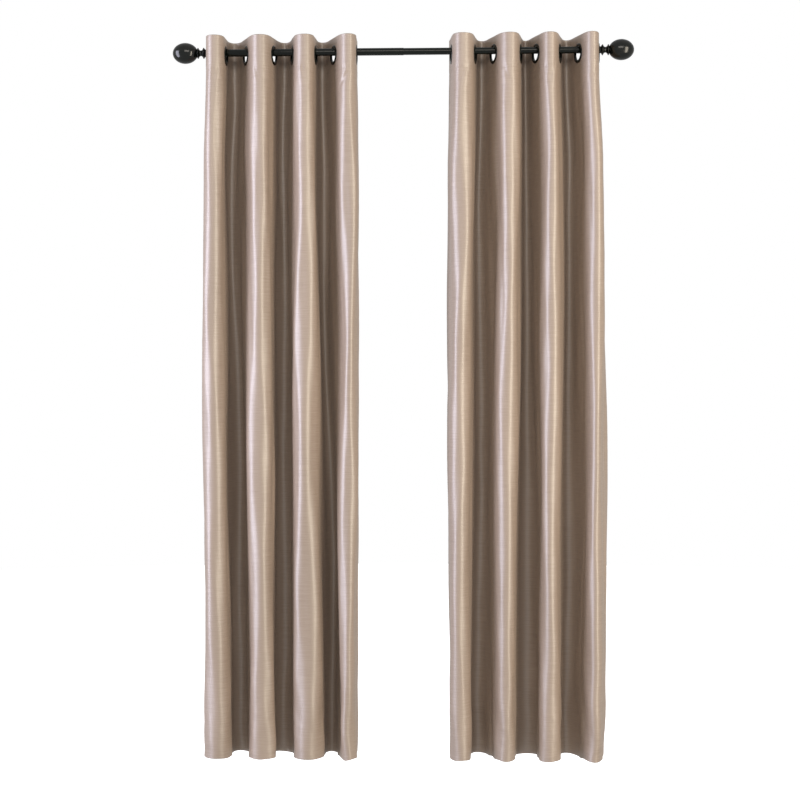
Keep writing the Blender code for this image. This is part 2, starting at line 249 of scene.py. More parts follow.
def satin(name, shade=1.0):
    """Taupe faux silk: a close warp with thick and thin weft threads, which shows as short level streaks."""
    material, shader = new_material(name, IOR=1.85, Specular_IOR_Level=0.62, Sheen_Weight=0.04,
                                    Sheen_Roughness=0.4)
    plane = cloth_plane(material)
    slub = noise(material, plane, (22, 520, 1), 3.0, 0.62)
    rare = noise(material, plane, (14, 210, 1), 1.0, 0.5)
    blotch = noise(material, plane, (7, 2.2, 1), 2.0, 0.5)
    low = (0.262 * shade, 0.196 * shade, 0.150 * shade)
    middle = (0.310 * shade, 0.236 * shade, 0.183 * shade)
    high = (0.352 * shade, 0.274 * shade, 0.218 * shade)
    colour = ramp(material, slub, ((0.30, low), (0.50, middle), (0.72, high)))
    thick = ramp(material, rare, ((0.60, 0.0), (0.70, 1.0)))
    colour = mix_colours(material, math_node(material, "MULTIPLY", thick, 0.30), colour, high)
    tone = ramp(material, blotch, ((0.25, 0.94), (0.75, 1.05)))
    colour = mix_colours(material, 1.0, colour, tone, "MULTIPLY")
    link(material, colour, shader.inputs["Base Color"])
    rough = ramp(material, slub, ((0.25, 0.49), (0.75, 0.40)))
    link(material, rough, shader.inputs["Roughness"])
    threads = math_node(material, "MULTIPLY", weave(material, plane, 2400), 0.25)
    height = math_node(material, "ADD", slub, math_node(material, "MULTIPLY_ADD", thick, 0.5, threads))
    bump(material, height, 0.42, 0.12 * MM)
    return material


def stiff_tape():
    material, shader = new_material("header_tape_cloth", Specular_IOR_Level=0.25)
    plane = cloth_plane(material)
    fibres = noise(material, plane, (900, 900, 1), 4.0, 0.7)
    link(material, ramp(material, fibres, ((0.3, (0.66, 0.63, 0.56)), (0.7, (0.80, 0.77, 0.71)))),
         shader.inputs["Base Color"])
    link(material, ramp(material, fibres, ((0.3, 0.95), (0.7, 0.82))), shader.inputs["Roughness"])
    bump(material, fibres, 0.6, 0.15 * MM)
    return material


def thread():
    material, shader = new_material("sewing_thread", Specular_IOR_Level=0.5, Sheen_Weight=0.2)
    fibres = noise(material, object_space(material), (1500, 1500, 6000), 2.0)
    link(material, ramp(material, fibres, ((0.3, (0.30, 0.24, 0.18)), (0.7, (0.43, 0.35, 0.28)))),
         shader.inputs["Base Color"])
    link(material, ramp(material, fibres, ((0.3, 0.60), (0.7, 0.48))), shader.inputs["Roughness"])
    return material


def gloss_black(name, dark, light, roughness, coat, grain=90, wear=0.0):
    """Smooth black finish whose gloss and tone drift a little over the surface."""
    material, shader = new_material(name, Coat_Weight=coat, Coat_Roughness=0.06, Specular_IOR_Level=0.30)
    space = object_space(material)
    cloud = noise(material, space, (grain, grain, grain), 3.0, 0.55)
    fine = noise(material, space, (900, 900, 900), 2.0, 0.5)
    colour = ramp(material, cloud, ((0.30, dark), (0.75, light)))
    if wear:
        geometry = material.node_tree.nodes.new("ShaderNodeNewGeometry")
        edge = ramp(material, geometry.outputs["Pointiness"], ((0.53, 0.0), (0.60, wear)))
        colour = mix_colours(material, edge, colour, (0.10, 0.095, 0.085))
    link(material, colour, shader.inputs["Base Color"])
    link(material, ramp(material, cloud, ((0.3, roughness * 0.85), (0.7, roughness * 1.25))),
         shader.inputs["Roughness"])
    bump(material, fine, 0.12, 0.03 * MM)
    return material


def finial_lacquer():
    """Black lacquer over a cast body: deep gloss with faint darker and lighter swirls under it."""
    material, shader = new_material("finial_lacquer", Coat_Weight=0.25, Coat_Roughness=0.04,
                                    Specular_IOR_Level=0.35)
    space = object_space(material)
    drift = noise(material, space, (18, 60, 60), 3.0, 0.6)
    swirl = noise(material, space, (35, 110, 110), 4.0, 0.65)
    mixed = math_node(material, "MULTIPLY_ADD", drift, 0.6, math_node(material, "MULTIPLY", swirl, 0.4))
    colour = ramp(material, mixed, ((0.40, (0.0015, 0.0025, 0.0018)), (0.55, (0.004, 0.005, 0.004)),
                                    (0.68, (0.014, 0.012, 0.009))))
    link(material, colour, shader.inputs["Base Color"])
    link(material, ramp(material, mixed, ((0.4, 0.12), (0.65, 0.26))), shader.inputs["Roughness"])
    bump(material, mixed, 0.15, 0.4 * MM)
    return material


def bare_steel():
    material, shader = new_material("zinc_steel", Metallic=1.0)
    space = object_space(material)
    patches = noise(material, space, (260, 260, 260), 3.0, 0.6)
    link(material, ramp(material, patches, ((0.3, (0.42, 0.42, 0.41)), (0.7, (0.58, 0.57, 0.55)))),
         shader.inputs["Base Color"])
    link(material, ramp(material, patches, ((0.3, 0.26), (0.7, 0.42))), shader.inputs["Roughness"])
    bump(material, patches, 0.1, 0.05 * MM)
    return material


def moulded_nylon():
    material, shader = new_material("moulded_nylon", Specular_IOR_Level=0.4)
    grain = noise(material, object_space(material), (700, 700, 700), 3.0, 0.6)
    link(material, ramp(material, grain, ((0.3, (0.035, 0.035, 0.035)), (0.7, (0.055, 0.055, 0.055)))),
         shader.inputs["Base Color"])
    link(material, ramp(material, grain, ((0.3, 0.45), (0.7, 0.62))), shader.inputs["Roughness"])
    bump(material, grain, 0.3, 0.05 * MM)
    return material


SATIN = satin("taupe_satin")
SATIN_BACK = satin("taupe_satin_back", 0.86)
TAPE = stiff_tape()
THREAD = thread()
RING = gloss_black("ring_gloss", (0.0015, 0.0025, 0.0015), (0.004, 0.005, 0.0035), 0.14, 0.15)
ROD = gloss_black("rod_enamel", (0.0012, 0.0028, 0.0018), (0.003, 0.005, 0.0035), 0.18, 0.10, 40)
BRACKET = gloss_black("bracket_enamel", (0.004, 0.005, 0.004), (0.010, 0.011, 0.010), 0.34, 0.10, 120, 0.5)
FINIAL = finial_lacquer()
STEEL = bare_steel()
NYLON = moulded_nylon()


# Hard pieces


def add_piece(name, mesh, material, body, nodes=()):
    piece = bpy.data.objects.new(name, mesh)
    bpy.context.scene.collection.objects.link(piece)
    mesh.materials.clear()
    mesh.materials.append(material)
    if body:
        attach(piece, body)
    if nodes:
        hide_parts(*nodes)
    return piece


def lathe(name, outline, matrix, steps=64, closed=False, crease=35, knurl=None):
    """A turned mesh from (radius, height) pairs about the matrix's Z axis. knurl is (low, high, depth)."""
    work = bmesh.new()
    points = [work.verts.new((radius, 0, height)) for radius, height in outline]
    pairs = list(zip(points, points[1:]))
    if closed:
        pairs.append((points[-1], points[0]))
    edges = [work.edges.new(pair) for pair in pairs]
    bmesh.ops.spin(work, geom=points + edges, cent=(0, 0, 0), axis=(0, 0, 1), angle=2 * math.pi,
                   steps=steps, use_merge=True)
    bmesh.ops.remove_doubles(work, verts=work.verts, dist=1e-6)
    if knurl:
        low, high, depth = knurl
        for vert in work.verts:
            turn = round(math.atan2(vert.co.y, vert.co.x) / (2 * math.pi) * steps)
            if low < vert.co.z < high and turn % 2:
                vert.co.xy *= 1 - depth / vert.co.xy.length
    bmesh.ops.recalc_face_normals(work, faces=work.faces)
    work.transform(matrix)
    mesh = bpy.data.meshes.new(name)
    work.to_mesh(mesh)
    work.free()
    mesh.shade_smooth()
    mesh.set_sharp_from_angle(angle=math.radians(crease))
    return mesh


def arc(centre, radius, start, stop, steps):
    """(radius, height) points on a circle in the outline's plane, angles in degrees."""
    turns = np.radians(np.linspace(start, stop, steps + 1))
    return [(centre[0] + radius * math.cos(a), centre[1] + radius * math.sin(a)) for a in turns]


def along_rod(x, side):
    """Own Z points outwards along the rod from x."""
    low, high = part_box("outer_tube")
    middle = (low + high) / 2
    return Matrix.Translation((x, middle.y, middle.z)) @ Matrix.Rotation(side * math.pi / 2, 4, "Y")


def out_of_wall(node):
    """Own Z points into the room from the wall, on the axis of this round node."""
    low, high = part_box(node)
    return Matrix.Translation(((low.x + high.x) / 2, 0, (low.z + high.z) / 2)) \
        @ Matrix.Rotation(math.pi / 2, 4, "X")


def make_tube(node, wall):
    """A drawn tube with slightly rolled ends."""
    low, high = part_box(node)
    radius = (high.z - low.z) / 2
    length = high.x - low.x
    roll = 0.45 * wall
    outline = [(radius - wall, roll)] + arc((radius - wall + roll, roll), roll, 180, 270, 3)
    outline += arc((radius - roll, roll), roll, 270, 360, 3)
    outline += arc((radius - roll, length - roll), roll, 0, 90, 3)
    outline += arc((radius - wall + roll, length - roll), roll, 90, 180, 3)
    mesh = lathe(node + "_drawn", outline, along_rod(low.x, 1), 96, True, 50)
    add_piece(node + "_drawn", mesh, ROD, BODY_OF[node], [node])


def make_finial(name, side):
    """A turned neck with two beads and a deep waist, and an egg on its end."""
    low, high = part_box(name + "_finial_neck")
    start = low.x if side > 0 else high.x
    place = along_rod(start, side)
    length = high.x - low.x
    bead = (high.z - low.z) / 2
    bore = 3.3 * MM
    waist = 8.3 * MM
    edge = 1.3 * MM
    first, last = 4.0 * MM, length - 2.2 * MM
    outline = [(bore, 0), (11.5 * MM, 0), (12.6 * MM, 0.5 * MM), (13.8 * MM, first - 1.9 * MM)]
    outline += arc((bead - edge, first), edge, -60, 70, 8)
    foot, head = first + 2.4 * MM, last - 2.4 * MM
    for d in np.linspace(foot, head, 17):
        swing = (2 * d - foot - head) / (head - foot)
        outline.append((waist + (bead - 3.4 * MM - waist) * swing * swing, d))
    outline += arc((bead - edge, last), edge, -70, 60, 8)
    outline += [(14.2 * MM, length - 0.4 * MM), (13.6 * MM, length), (bore, length)]
    mesh = lathe(name + "_finial_neck_turned", outline, place, 72, True, 40)
    add_piece(name + "_finial_neck_turned", mesh, FINIAL, name + "_finial",
              [name + "_finial_neck"])
    low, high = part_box(name + "_finial_ball")
    near, far = sorted((abs(low.x), abs(high.x)))
    radius = (high.z - low.z) / 2
    seat = near - abs(start)
    half = (far - near) / 2 * 1.026
    centre = far - abs(start) - half
    last = math.acos((seat - centre) / half)
    outline = [(0, seat)]
    outline += [(radius * math.sin(a), centre + half * math.cos(a)) for a in np.linspace(last, 0, 45)[:-1]]
    outline.append((0, centre + half))
    mesh = lathe(name + "_finial_egg", outline, place, 96, False, 50)
    add_piece(name + "_finial_egg", mesh, FINIAL, name + "_finial",
              [name + "_finial_ball"])


def make_arm(name):
    node = name + "_arm"
    low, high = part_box(node)
    start, end = -high.y, -low.y
    flange, stem = (high.z - low.z) / 2, 4.5 * MM
    top = start + 4 * MM
    outline = [(0, start), (flange - 0.6 * MM, start)]
    outline += arc((flange - 0.8 * MM, start + 0.8 * MM), 0.8 * MM, -60, 0, 3)
    outline += arc((flange - 1.6 * MM, top - 1.6 * MM), 1.6 * MM, 0, 90, 6)
    outline += arc((stem + 3 * MM, top + 3 * MM), 3 * MM, 270, 180, 8)
    outline += [(stem, end - 0.5 * MM), (stem - 0.5 * MM, end), (0, end)]
    mesh = lathe(node + "_turned", outline, out_of_wall(node), 48)
    add_piece(node + "_turned", mesh, BRACKET, BODY_OF[node], [node])


def make_thumb_screw(name):
    """A knurled head on a plain shank."""
    node = name + "_thumb_screw"
    low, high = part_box(node)
    tip, top = -high.y, -low.y
    radius = (high.z - low.z) / 2
    under = top - 6 * MM
    shank = 2.5 * MM
    round_edge = 0.8 * MM
    outline = [(0, tip), (shank - 0.4 * MM, tip), (shank, tip + 0.4 * MM), (shank, under)]
    outline += [(radius - 0.6 * MM, under)]
    outline += [(radius, under + 0.6 * MM), (radius, top - round_edge)]
    outline += arc((radius - round_edge, top - round_edge), round_edge, 20, 90, 4)
    outline += [(radius * 0.55, top), (radius * 0.45, top - 0.5 * MM), (0, top - 0.5 * MM)]
    knurl = (under + 0.3 * MM, top - 0.5 * MM, 0.35 * MM)
    mesh = lathe(node + "_turned", outline, out_of_wall(node), 60, False, 35, knurl)
    add_piece(node + "_turned", mesh, BRACKET, BODY_OF[node], [node])


def cross_slot(radius, depth, top):
    """A crossed prism that reaches this far below a screw head's top, and as far above it."""
    half = 0.18 * radius
    corner = ((half, half), (half, radius), (-half, radius))
    outline = []
    for turn in range(4):
        quarter = Matrix.Rotation(turn * math.pi / 2, 2)
        outline += [quarter @ Vector(point) for point in corner]
    work = bmesh.new()
    face = work.faces.new([work.verts.new((x, y, top - depth)) for x, y in outline])
    grown = bmesh.ops.extrude_face_region(work, geom=[face])["geom"]
    raised = [item for item in grown if isinstance(item, bmesh.types.BMVert)]
    bmesh.ops.translate(work, verts=raised, vec=(0, 0, 2 * depth))
    bmesh.ops.recalc_face_normals(work, faces=work.faces)
    mesh = bpy.data.meshes.new("cross_slot")
    work.to_mesh(mesh)
    work.free()
    return mesh


def make_wall_screw(name, place):
    """A domed head with a crossed slot, over a threaded shank."""
    node = f"{name}_{place}_wall_screw"
    low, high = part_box(node)
    tip, top = -high.y, -low.y
    radius = (high.z - low.z) / 2
    shank = 1.9 * MM
    under = top - 2.6 * MM
    outline = [(0, tip)]
    pitch = 1.2 * MM
    turns = int((under - 0.006 - tip - 0.004) / pitch)
    for number in range(turns):
        foot = tip + 0.004 + number * pitch
        outline += [(shank - 0.45 * MM, foot), (shank, foot + 0.45 * pitch)]
        outline += [(shank - 0.45 * MM, foot + 0.6 * pitch)]
    outline += [(shank - 0.3 * MM, under - 0.004), (shank - 0.3 * MM, under), (radius, under)]
    outline += [(radius * math.cos(a), under + 0.5 * MM + 2.1 * MM * math.sin(a))
                for a in np.linspace(0, math.pi / 2, 9)[:-1]]
    outline.append((0, top))
    matrix = out_of_wall(node)
    mesh = lathe(node + "_turned", outline, Matrix(), 32)
    screw = bpy.data.objects.new(node + "_blank", mesh)
    cutter = bpy.data.objects.new(node + "_slot", cross_slot(0.55 * radius, 1.2 * MM, top))
    for obj in (screw, cutter):
        bpy.context.scene.collection.objects.link(obj)
    modifier = screw.modifiers.new("slot", "BOOLEAN")
    modifier.operation = "DIFFERENCE"
    modifier.operand_type = "OBJECT"
    modifier.object = cutter
    carved = applied(screw, node + "_turned")
    bpy.data.objects.remove(cutter)
    carved.transform(matrix)
    carved.set_sharp_from_angle(angle=math.radians(35))
    add_piece(node + "_turned", carved, STEEL, BODY_OF[node], [node])


def applied(obj, name):
    """The object's mesh with its modifiers applied. The object itself is removed."""
    graph = bpy.context.evaluated_depsgraph_get()
    mesh = bpy.data.meshes.new_from_object(obj.evaluated_get(graph))
    mesh.name = name
    bpy.data.objects.remove(obj)
    return mesh


def finish_cad_node(node, material, edge=0.0):
    """Keeps the CAD shape, with its own finish and, where edge is given, softened edges."""
    obj = NODES[node]
    obj.data.materials.clear()
    obj.data.materials.append(material)
    weld = obj.modifiers.new("weld", "WELD")
    weld.merge_threshold = 1e-5
    if edge:
        bevel = obj.modifiers.new("soft_edges", "BEVEL")
        bevel.width = edge
        bevel.segments = 3
        bevel.limit_method = "ANGLE"
        bevel.angle_limit = math.radians(40)
        bevel.harden_normals = True


def make_bracket(name):
    finish_cad_node(name + "_wall_plate", BRACKET, 0.5 * MM)
    finish_cad_node(name + "_cradle", BRACKET, 0.5 * MM)
    make_arm(name)
    make_thumb_screw(name)
    for place in ("upper", "lower"):
        make_wall_screw(name, place)


def make_rod():
    make_tube("outer_tube", 0.5 * MM)
    make_tube("inner_tube", 0.8 * MM)
    finish_cad_node("inner_tube_glide", NYLON)
    for name, side in (("left", -1), ("right", 1)):
        make_finial(name, side)
        finish_cad_node(name + "_rod_end_sleeve", NYLON)
        finish_cad_node(name + "_finial_pin", STEEL)


# Rings


def ring_outlines():
    """(face ring with its barrel, snap-on back ring) as closed (radius, height) outlines."""
    hole, barrel, outer = 20.5 * MM, 22.0 * MM, 29.2 * MM
    front = CLOTH_THICK / 2 + 0.05 * MM
    back = FACING_LIFT - LINING_THICK / 2 - 0.05 * MM
    dome = 2.6 * MM
    lip = 0.5 * MM
    face = [(barrel, front + 0.3 * MM), (outer - lip, front)]
    face += arc((outer - lip, front + lip), lip, -90, 0, 4)
    inner = hole + 1.4 * MM
    face += [(inner + (outer - hole - 1.4 * MM) * math.cos(a), front + lip + (dome - lip) * math.sin(a))
             for a in np.linspace(0.12, math.pi / 2, 9)]
    face += arc((hole + 1.4 * MM, front + dome - 1.4 * MM), 1.4 * MM, 90, 180, 6)
    face += arc((hole + 0.5 * MM, back - 1.0 * MM), 0.5 * MM, 180, 270, 3)
    face += [(barrel - 0.3 * MM, back - 1.5 * MM), (barrel, back - 1.0 * MM)]
    rear = [(barrel + 0.3 * MM, back), (outer - 1.2 * MM, back)]
    rear += arc((outer - 1.2 * MM, back - 0.6 * MM), 0.6 * MM, 90, 0, 4)
    rear += [(outer - 1.8 * MM, back - 1.5 * MM), (outer - 2.8 * MM, back - 1.9 * MM),
             (barrel + 1.6 * MM, back - 1.9 * MM), (barrel + 0.6 * MM, back - 1.4 * MM),
             (barrel + 0.3 * MM, back - 0.9 * MM)]
    return face, rear


def ring_matrix(centre, normal):
    up = Vector((0, 0, 1))
    across = up.cross(normal)
    turn = Matrix((across, up, normal)).transposed().to_4x4()
    return Matrix.Translation(centre) @ turn


def make_rings(panel):
    face, rear = ring_outlines()
    made = []
    for number in range(1, RINGS + 1):
        matrix = ring_matrix(Vector(panel.centres[number - 1]), Vector(panel.normals[number - 1]))
        for part, outline in (("face", face), ("back", rear)):
            node = f"{panel.name}_ring_{number}_{part}"
            mesh = lathe(node + "_moulded", outline, matrix, 72, True, 45)
            made.append(add_piece(node + "_moulded", mesh, RING, BODY_OF[node], [node]))
    return made


# Panels


def line_through(first, last, steps):
    return first + (last - first) * np.linspace(0, 1, steps + 1)[1:, None]


def half_fold(foot, way, crest, steps):
    """From a leg's end to the crest, leaving along the leg and arriving level."""
    rise = way * ROUNDNESS * abs(crest[1] - foot[1])
    run = np.array([ROUNDNESS * (crest[0] - foot[0]), 0])
    a = np.linspace(0, 1, steps + 1)[1:, None]
    b = 1 - a
    return b**3 * foot + 3 * b * b * a * (foot + rise) + 3 * b * a * a * (crest - run) + a**3 * crest


def fold_line(centres, rooms, leg_half, steps=40):
    """The cloth seen from above, from its outer side edge to the leading one.

    centres are where the legs cross the rod's plane, and rooms their directions towards the room.
    """
    ways = rooms * np.where(np.arange(RINGS) % 2 == 0, 1, -1)[:, None]
    start = centres[0] - ways[0] * EDGE_LENGTH
    points = [start[None], line_through(start, centres[0] - ways[0] * leg_half, steps)]
    for index in range(RINGS):
        centre, way = centres[index], ways[index]
        end = centre + way * leg_half
        points.append(line_through(centre - way * leg_half, end, steps))
        if index == RINGS - 1:
            points.append(line_through(end, centre + way * EDGE_LENGTH, steps))
            continue
        depth = FOLD_DEPTH if index % 2 else -FOLD_DEPTH
        following, next_way = centres[index + 1], ways[index + 1]
        reached = [centre[0] + rooms[index][0] * depth / rooms[index][1],
                   following[0] + rooms[index + 1][0] * depth / rooms[index + 1][1]]
        crest = np.array([sum(reached) / 2, centre[1] + depth])
        fall = half_fold(following - next_way * leg_half, -next_way, crest, steps)
        points += [half_fold(end, way, crest, steps), fall[-2::-1], (following - next_way * leg_half)[None]]
    return np.concatenate(points)


class Panel:
    """One hung panel: where each point of the flat cloth lies in the room."""

    def __init__(self, name, side, seed):
        self.name, self.side = name, side
        self.read_rings()
        rooms = np.array([(normal[1], -normal[0]) for normal in self.normals])
        rooms *= -np.sign(rooms[:, 1:])
        self.top = fold_line(self.centres[:, :2], rooms, LEG_HALF)
        hem_centres = np.array([(side * u, self.centres[0][1]) for u, tilt in HEM_LEGS[name]])
        tilts = np.radians([tilt for u, tilt in HEM_LEGS[name]])
        outward = np.where(np.arange(RINGS) % 2 == 0, 1, -1)
        hem_rooms = np.stack([-side * outward * np.sin(tilts), -np.cos(tilts)], 1)
        self.hem = fold_line(hem_centres, hem_rooms, LEG_HALF_AT_HEM)
        self.s = np.concatenate([[0], np.cumsum(np.linalg.norm(np.diff(self.top, axis=0), axis=1))])
        self.width = self.s[-1]
        self.ring_s = np.array([self.nearest(centre[:2]) for centre in self.centres])
        self.ring_t = PANEL_TOP - self.centres[:, 2]
        self.crest_s = (self.ring_s[:-1] + self.ring_s[1:]) / 2
        self.front_crests = self.crest_s[::2]
        self.drift = Waves(seed, 0.24, 1.1)
        self.long_waves = Waves(seed + 1, 0.055, 0.9, 9)
        self.soft_waves = Waves(seed + 2, 0.028, 0.30, 9)
        self.crumple = Waves(seed + 3, 0.030, 0.045, 11)
        self.hem_waves = Waves(seed + 4, 0.075, 0.22, 9)
        self.edge_waves = Waves(seed + 5, 0.012, 0.05, 7)
        random = np.random.default_rng(seed + 6)
        self.pinches = []
        for crest in self.front_crests:
            self.pinches.append((crest + random.uniform(-6, 6) * MM, HEADER + random.uniform(10, 26) * MM,
                                 random.uniform(1.0, 1.8) * MM, random.uniform(-0.8, 0.8)))

    def read_rings(self):
        """Each ring's centre and face normal, from its CAD node. Ring 1 faces away from the middle."""
        rod_y = sum(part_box("outer_tube")[i].y for i in (0, 1)) / 2
        middles, normals = [], []
        for number in range(1, RINGS + 1):
            mesh = NODES[f"{self.name}_ring_{number}_face"].data
            points = np.unique(np.round([tuple(vert.co) for vert in mesh.vertices], 6), axis=0)
            middle = points.mean(0)
            normal = np.linalg.svd(points - middle)[2][-1]
            normal *= np.sign(normal[0]) * self.side * (1 if number % 2 else -1)
            middles.append(middle)
            normals.append(normal)
        middles, self.normals = np.array(middles), np.array(normals)
        # The cloth's middle crosses the rod's plane this far behind the middle of a face ring.
        most_turned = np.argmax(abs(self.normals[:, 1]))
        ahead = (middles[most_turned][1] - rod_y) / self.normals[most_turned][1]
        self.centres = middles - self.normals * ahead

    def nearest(self, point):
        gaps = self.top - point
        near = np.argmin((gaps**2).sum(1))
        tangent = self.top[near + 1] - self.top[near - 1]
        return self.s[near] - gaps[near] @ tangent / np.linalg.norm(tangent)

    def share(self, s):
        """How much of the leading ring's travel the cloth makes: even over each ring, eased between rings."""
        ratios = [0] + [RATIOS[f"{self.name}_ring_{k}_slide"] for k in range(2, RINGS)] + [1]
        total = np.full(np.shape(s), 0.0)
        for index in range(RINGS - 1):
            start, stop = self.ring_s[index] + LEG_HALF, self.ring_s[index + 1] - LEG_HALF
            total += (ratios[index + 1] - ratios[index]) * ease((s - start) / (stop - start))
        return total

    def relief(self, s, t):
        """How far the cloth stands out of its even folds, towards its face."""
        soft = ease((t - HEADER) / 0.10)
        near_hem = ease((t - PANEL_HEIGHT + 0.45) / 0.40)
        out = self.long_waves(s, t) * (0.15 + 0.95 * soft) * MM
        out = out + self.soft_waves(s, t) * 0.28 * soft * MM
        out = out + self.crumple(s, t) * (0.05 + 0.05 * soft) * MM
        out = out + self.hem_waves(s, t) * 1.1 * near_hem * MM
        for line, depth in ((HEADER, 0.45 * MM), (PANEL_HEIGHT - HEM, 0.18 * MM)):
            gap = t - line
            out = out - depth * bell(gap / (1.8 * MM))
            out = out + 0.9 * depth * self.edge_waves(s, 0 * t) * bell(gap / (11 * MM))
        for ring_s, ring_t in zip(self.ring_s, self.ring_t):
            across, down = s - ring_s, t - ring_t
            away = np.hypot(across, down)
            turn = np.arctan2(across, down)
            fan = np.cos(11 * turn + ring_s * 40) * bell(turn / 0.75)
            fade = bell(np.maximum(away - 0.042, 0) / 0.05)
            out = out + 0.55 * MM * fan * ease((away - 0.030) / 0.012) * fade
        for pinch_s, pinch_t, depth, slant in self.pinches:
            down = t - pinch_t
            across = s - pinch_s - slant * down
            out = out - depth * bell(across / (6 * MM)) * bell(down / (24 * MM))
            out = out + 0.45 * depth * bell((across + 0.013) / (9 * MM)) * bell((down + 0.010) / (28 * MM))
        # The eyelets clamp the cloth flat.
        for ring_s, ring_t in zip(self.ring_s, self.ring_t):
            out = out * ease((np.hypot(s - ring_s, t - ring_t) - 0.0302) / 0.012)
        return out

    def place(self, s, t):
        """Points of the cloth's middle surface, as rows of x, y, z."""
        below = np.clip((t - HEADER) / (PANEL_HEIGHT - HEADER), 0, 1)
        share = ease(below)
        x = np.interp(s, self.s, self.top[:, 0]) * (1 - share) + np.interp(s, self.s, self.hem[:, 0]) * share
        y = np.interp(s, self.s, self.top[:, 1]) * (1 - share) + np.interp(s, self.s, self.hem[:, 1]) * share
        span = 1.5 * MM
        ahead, behind = s + span, s - span
        way_x = np.interp(ahead, self.s, self.top[:, 0]) - np.interp(behind, self.s, self.top[:, 0])
        way_y = np.interp(ahead, self.s, self.top[:, 1]) - np.interp(behind, self.s, self.top[:, 1])
        hem_x = np.interp(ahead, self.s, self.hem[:, 0]) - np.interp(behind, self.s, self.hem[:, 0])
        hem_y = np.interp(ahead, self.s, self.hem[:, 1]) - np.interp(behind, self.s, self.hem[:, 1])
        way_x = way_x * (1 - share) + hem_x * share
        way_y = way_y * (1 - share) + hem_y * share
        length = np.hypot(way_x, way_y)
        out = self.relief(s, t)
        x = x - self.side * way_y / length * out
        y = y + self.side * way_x / length * out
        outer, leading = BELLY[self.name]
        belly = outer + (leading - outer) * s / self.width
        swing = 1.1 * ease(below / 0.14) * (1 - below**3)  # largest 0.28 m below the header
        x = x + self.side * belly * swing + self.drift(s, t) * 2.2 * MM * ease(below * 5)
        dip = self.hem_waves(s, t) * 1.0 * MM * ease((t - PANEL_HEIGHT + 0.10) / 0.10)
        return np.stack([x, y, PANEL_TOP - t + dip], -1)

    def surface(self, s, t, lift):
        """Points this far in front of the cloth's middle surface, and the three directions there."""
        step = 0.6 * MM
        across = self.place(s + step, t) - self.place(s - step, t)
        down = self.place(s, t + step) - self.place(s, t - step)
        normal = np.cross(down, across) * -self.side
        across, down, normal = (v / np.linalg.norm(v, axis=-1, keepdims=True) for v in (across, down, normal))
        return self.place(s, t) + normal * lift[..., None], across, down, normal


def mesh_from(name, points, faces, flat, shares):
    """A mesh whose cloth UVs are flat, in metres, and whose points carry their share of the travel."""
    used, faces = np.unique(faces, return_inverse=True)
    faces = faces.reshape(-1, 4)
    mesh = bpy.data.meshes.new(name)
    mesh.from_pydata(points[used].tolist(), [], faces.tolist())
    uv = mesh.uv_layers.new(name="cloth")
    uv.data.foreach_set("uv", flat[used][faces.ravel()].astype(np.float32).ravel())
    attribute = mesh.attributes.new("travel_share", "FLOAT", "POINT")
    attribute.data.foreach_set("value", shares[used].astype(np.float32))
    mesh.shade_smooth()
    return mesh


def sheet_mesh(name, panel, s, t, lift, thickness, holes=False):
    """A sheet of even thickness over a grid of flat places."""
    rows, columns = s.shape
    index = np.arange(rows * columns).reshape(rows, columns)
    corners = [index[:-1, :-1], index[1:, :-1], index[1:, 1:], index[:-1, 1:]]
    if panel.side > 0:
        corners.reverse()
    faces = np.stack(corners, -1).reshape(-1, 4)
    flat = np.stack([s.ravel(), t.ravel()], 1)
    if holes:
        inside = np.zeros(len(flat), bool)
        for centre in zip(panel.ring_s, panel.ring_t):
            gap = flat - centre
            away = np.linalg.norm(gap, axis=1)
            within = away < HOLE_RADIUS
            inside |= within
            flat[within] = centre + gap[within] / np.maximum(away[within], 1e-9)[:, None] * HOLE_RADIUS
        faces = faces[~inside[faces].all(1)]
    points = panel.surface(flat[:, 0], flat[:, 1], lift.ravel())[0]
    mesh = mesh_from(name + "_surface", points, faces, flat, panel.share(flat[:, 0]))
    obj = bpy.data.objects.new(name + "_surface", mesh)
    bpy.context.scene.collection.objects.link(obj)
    shell = obj.modifiers.new("thickness", "SOLIDIFY")
    shell.thickness = thickness
    shell.offset = 0
    mesh = applied(obj, name)
    mesh.set_sharp_from_angle(angle=math.radians(60))
    return mesh


def hang_piece(name, panel, mesh, material, nodes=()):
    """A piece of the panel, which goes with each ring over it and stretches or closes up between them."""
    piece = add_piece(name, mesh, material, None, nodes)
    start, end = (Vector(panel.centres[index]) for index in (0, -1))
    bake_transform(piece, "rod", panel.name + "_panel", start=start, end=end)
    shares = np.zeros(len(mesh.vertices), np.float32)
    mesh.attributes["travel_share"].data.foreach_get("value", shares)
    mesh.attributes["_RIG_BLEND"].data.foreach_set("value", shares)
    mesh.attributes.remove(mesh.attributes["travel_share"])
    return piece


def columns_across(panel, start, stop):
    """Columns of the cloth's grid: close together round the folds, wider on the flat legs."""
    stops = [0.0]
    for ring in panel.ring_s:
        stops += [ring - LEG_HALF, ring + LEG_HALF]
    stops.append(panel.width)
    columns = [np.array([0.0])]
    for index, (first, last) in enumerate(zip(stops, stops[1:])):
        spacing = 6.0 * MM if index % 2 else 3.6 * MM
        columns.append(np.linspace(first, last, max(2, round((last - first) / spacing)) + 1)[1:])
    columns = np.concatenate(columns)
    columns = columns[(columns > start + 1 * MM) & (columns < stop - 1 * MM)]
    return np.concatenate([[start], columns, [stop]])


def rows_down(start, stop):
    """Rows of the cloth's grid: close together in the header and the hem."""
    rows = np.concatenate([np.linspace(0, 0.165, 52), np.linspace(0.165, 1.97, 96)[1:],
                           np.linspace(1.97, PANEL_HEIGHT, 31)[1:]])
    rows = rows[(rows > start + 1 * MM) & (rows < stop - 1 * MM)]
    return np.concatenate([[start], rows, [stop]])


